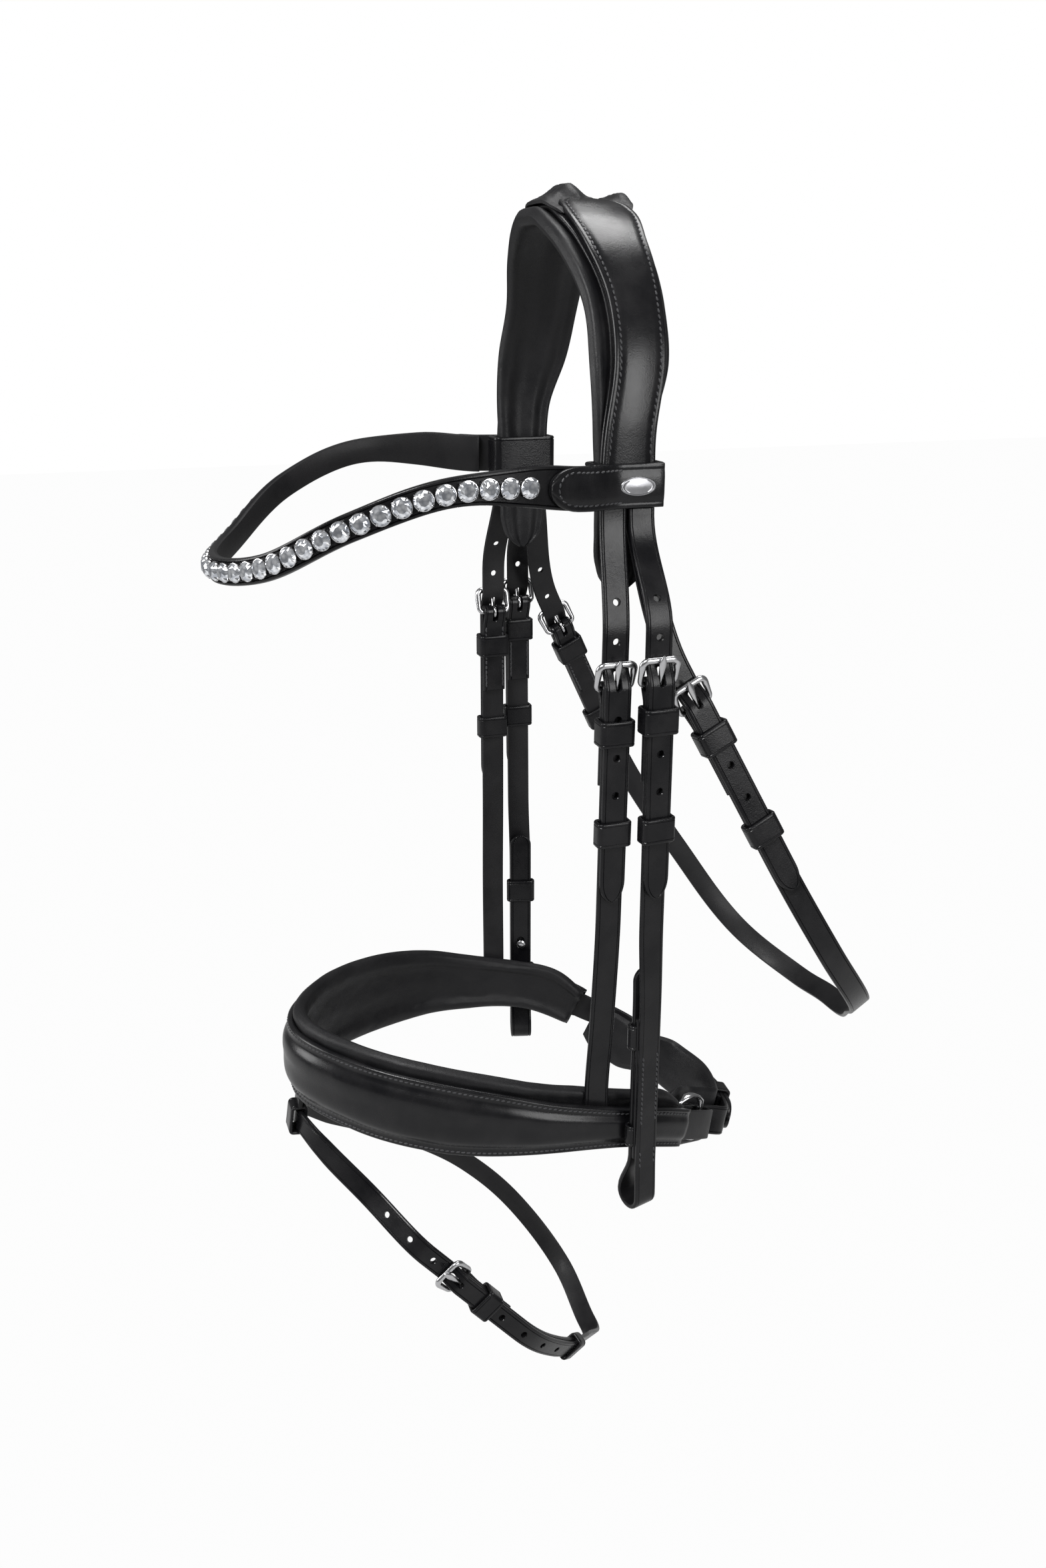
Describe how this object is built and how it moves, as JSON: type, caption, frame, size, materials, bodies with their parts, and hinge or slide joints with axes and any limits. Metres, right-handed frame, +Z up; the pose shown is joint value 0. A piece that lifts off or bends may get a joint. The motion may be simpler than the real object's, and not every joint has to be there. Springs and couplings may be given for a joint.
{
  "type": "snaffle bridle",
  "caption": "Black leather snaffle bridle with padded crown, curved jewelled browband, padded crank noseband, flash strap, throatlatch and looped cheekpieces.",
  "frame": {"origin": "middle of the crown pad's underside at the poll, where the bridle rests behind the horse's ears", "axes": "+X towards the horse's left (near) side, -Y towards the nose, +Z up"},
  "size_m": [0.2414, 0.4006, 0.7095],
  "materials": {
    "leather_black": "glossy finished bridle leather",
    "soft_pad_black": "soft matt padded leather",
    "stainless_steel": "polished stainless steel",
    "clear_stones": "faceted clear stones in metal claws"
  },
  "bodies": {
    "headpiece": {"crown_strap": "leather_black", "crown_overlay": "leather_black", "crown_pad": "soft_pad_black"},
    "browband": {"browband": "leather_black", "browband_loop_near": "leather_black", "browband_loop_far": "leather_black", "stone_row": "clear_stones"},
    "throatlatch": {"throat_billet_near": "leather_black", "throat_billet_far": "leather_black", "throat_strap": "leather_black"},
    "noseband": {"hanger_billet_near": "leather_black", "hanger_billet_far": "leather_black", "hanger_strap_near": "leather_black", "hanger_strap_far": "leather_black", "hanger_keeper_near": "leather_black", "hanger_keeper_far": "leather_black", "noseband_panel": "leather_black", "noseband_pad": "soft_pad_black", "crank_runner": "leather_black", "chin_strap": "leather_black", "crank_billet": "leather_black", "chin_pad": "soft_pad_black", "crank_dee": "stainless_steel"},
    "flash": {"flash_strap": "leather_black", "flash_keeper": "leather_black", "flash_runner": "leather_black", "flash_carrier": "leather_black"},
    "cheek_near": {"bit_billet_near": "leather_black", "bit_cheek_near": "leather_black", "bit_hook_stud_near": "stainless_steel", "bit_keeper_near": "leather_black", "bit_loop_keeper_near": "leather_black"},
    "cheek_far": {"bit_billet_far": "leather_black", "bit_cheek_far": "leather_black", "bit_hook_stud_far": "stainless_steel", "bit_keeper_far": "leather_black", "bit_loop_keeper_far": "leather_black"},
    "hanger_buckle_near": {"hanger_buckle_near": "stainless_steel"},
    "hanger_prong_near": {"hanger_prong_near": "stainless_steel"},
    "bit_buckle_near": {"bit_buckle_near": "stainless_steel"},
    "bit_prong_near": {"bit_prong_near": "stainless_steel"},
    "throat_buckle_near": {"throat_buckle_near": "stainless_steel"},
    "throat_prong_near": {"throat_prong_near": "stainless_steel"},
    "hanger_buckle_far": {"hanger_buckle_far": "stainless_steel"},
    "hanger_prong_far": {"hanger_prong_far": "stainless_steel"},
    "bit_buckle_far": {"bit_buckle_far": "stainless_steel"},
    "bit_prong_far": {"bit_prong_far": "stainless_steel"},
    "throat_buckle_far": {"throat_buckle_far": "stainless_steel"},
    "throat_prong_far": {"throat_prong_far": "stainless_steel"},
    "crank_buckle": {"crank_buckle": "stainless_steel"},
    "crank_prong": {"crank_prong": "stainless_steel"},
    "flash_buckle": {"flash_buckle": "stainless_steel"},
    "flash_prong": {"flash_prong": "stainless_steel"},
    "hanger_runner_near": {"hanger_runner_near": "leather_black"},
    "hanger_runner_far": {"hanger_runner_far": "leather_black"},
    "bit_runner_near": {"bit_runner_near": "leather_black"},
    "bit_runner_far": {"bit_runner_far": "leather_black"},
    "throat_runner_near": {"throat_runner_near": "leather_black"},
    "throat_runner_far": {"throat_runner_far": "leather_black"}
  },
  "joints": [
    {"name": "browband_lift", "type": "slide", "parent": "headpiece", "child": "browband", "axis": [0, 0, 1], "range_m": [0, 0.008]},
    {"name": "throatlatch_swing", "type": "hinge", "parent": "headpiece", "child": "throatlatch", "pos_m": [0, 0.005, -0.132], "axis": [1, 0, 0], "range_deg": [-3, 20]},
    {"name": "noseband_swing", "type": "hinge", "parent": "headpiece", "child": "noseband", "pos_m": [0, -0.007, -0.132], "axis": [1, 0, 0], "range_deg": [-8, 0]},
    {"name": "cheek_near_sway", "type": "hinge", "parent": "headpiece", "child": "cheek_near", "pos_m": [0.0798, 0.008, -0.1322], "axis": [0, -1, 0], "range_deg": [0, 12]},
    {"name": "cheek_far_sway", "type": "hinge", "parent": "headpiece", "child": "cheek_far", "pos_m": [-0.0798, 0.008, -0.1322], "axis": [0, 1, 0], "range_deg": [0, 12]},
    {"name": "flash_swing", "type": "hinge", "parent": "noseband", "child": "flash", "pos_m": [0, -0.1645, -0.4746], "axis": [1, 0, 0], "range_deg": [-12, 12]},
    {"name": "hanger_buckle_near_hinge", "type": "hinge", "parent": "noseband", "child": "hanger_buckle_near", "pos_m": [0.09482, -0.01078, -0.21798], "axis": [0, 1, -0.0068], "range_deg": [0, 3]},
    {"name": "hanger_prong_near_hinge", "type": "hinge", "parent": "hanger_buckle_near", "child": "hanger_prong_near", "pos_m": [0.09482, -0.01078, -0.21798], "axis": [0, 1, -0.0068], "range_deg": [0, 4]},
    {"name": "bit_buckle_near_hinge", "type": "hinge", "parent": "cheek_near", "child": "bit_buckle_near", "pos_m": [0.10386, 0.0084, -0.21498], "axis": [-0.0079, 1, 0.0045], "range_deg": [0, 3]},
    {"name": "bit_prong_near_hinge", "type": "hinge", "parent": "bit_buckle_near", "child": "bit_prong_near", "pos_m": [0.10386, 0.0084, -0.21498], "axis": [-0.0079, 1, 0.0045], "range_deg": [0, 4]},
    {"name": "throat_buckle_near_hinge", "type": "hinge", "parent": "throatlatch", "child": "throat_buckle_near", "pos_m": [0.09586, 0.03451, -0.23145], "axis": [-0.0259, 0.8909, 0.4534], "range_deg": [0, 3]},
    {"name": "throat_prong_near_hinge", "type": "hinge", "parent": "throat_buckle_near", "child": "throat_prong_near", "pos_m": [0.09586, 0.03451, -0.23145], "axis": [-0.0259, 0.8909, 0.4534], "range_deg": [0, 4]},
    {"name": "hanger_buckle_far_hinge", "type": "hinge", "parent": "noseband", "child": "hanger_buckle_far", "pos_m": [-0.09482, -0.01078, -0.21798], "axis": [0, -1, 0.0068], "range_deg": [0, 3]},
    {"name": "hanger_prong_far_hinge", "type": "hinge", "parent": "hanger_buckle_far", "child": "hanger_prong_far", "pos_m": [-0.09482, -0.01078, -0.21798], "axis": [0, -1, 0.0068], "range_deg": [0, 4]},
    {"name": "bit_buckle_far_hinge", "type": "hinge", "parent": "cheek_far", "child": "bit_buckle_far", "pos_m": [-0.10386, 0.0084, -0.21498], "axis": [-0.0079, -1, -0.0045], "range_deg": [0, 3]},
    {"name": "bit_prong_far_hinge", "type": "hinge", "parent": "bit_buckle_far", "child": "bit_prong_far", "pos_m": [-0.10386, 0.0084, -0.21498], "axis": [-0.0079, -1, -0.0045], "range_deg": [0, 4]},
    {"name": "throat_buckle_far_hinge", "type": "hinge", "parent": "throatlatch", "child": "throat_buckle_far", "pos_m": [-0.09586, 0.03451, -0.23145], "axis": [-0.0259, -0.8909, -0.4534], "range_deg": [0, 3]},
    {"name": "throat_prong_far_hinge", "type": "hinge", "parent": "throat_buckle_far", "child": "throat_prong_far", "pos_m": [-0.09586, 0.03451, -0.23145], "axis": [-0.0259, -0.8909, -0.4534], "range_deg": [0, 4]},
    {"name": "crank_buckle_hinge", "type": "hinge", "parent": "noseband", "child": "crank_buckle", "pos_m": [-0.01137, 0.10206, -0.52979], "axis": [-0.0343, -0.2557, -0.9661], "range_deg": [0, 3]},
    {"name": "crank_prong_hinge", "type": "hinge", "parent": "crank_buckle", "child": "crank_prong", "pos_m": [-0.01137, 0.10206, -0.52979], "axis": [-0.0343, -0.2557, -0.9661], "range_deg": [0, 4]},
    {"name": "flash_buckle_hinge", "type": "hinge", "parent": "flash", "child": "flash_buckle", "pos_m": [0.07304, -0.08898, -0.57118], "axis": [0.0003, 0.7537, 0.6573], "range_deg": [0, 3]},
    {"name": "flash_prong_hinge", "type": "hinge", "parent": "flash_buckle", "child": "flash_prong", "pos_m": [0.07304, -0.08898, -0.57118], "axis": [0.0003, 0.7537, 0.6573], "range_deg": [0, 4]},
    {"name": "hanger_runner_near_slide", "type": "slide", "parent": "noseband", "child": "hanger_runner_near", "axis": [-0.0069, -0.0069, -1], "range_m": [-0.016, 0.028]},
    {"name": "hanger_runner_far_slide", "type": "slide", "parent": "noseband", "child": "hanger_runner_far", "axis": [0.0069, -0.0069, -1], "range_m": [-0.016, 0.028]},
    {"name": "bit_runner_near_slide", "type": "slide", "parent": "cheek_near", "child": "bit_runner_near", "axis": [-0.0051, 0.0045, -1], "range_m": [-0.016, 0.028]},
    {"name": "bit_runner_far_slide", "type": "slide", "parent": "cheek_far", "child": "bit_runner_far", "axis": [0.0051, 0.0045, -1], "range_m": [-0.016, 0.028]},
    {"name": "throat_runner_near_slide", "type": "slide", "parent": "throatlatch", "child": "throat_runner_near", "axis": [0.1538, 0.4517, -0.8788], "range_m": [-0.016, 0.01]},
    {"name": "throat_runner_far_slide", "type": "slide", "parent": "throatlatch", "child": "throat_runner_far", "axis": [-0.1538, 0.4517, -0.8788], "range_m": [-0.016, 0.01]}
  ]
}
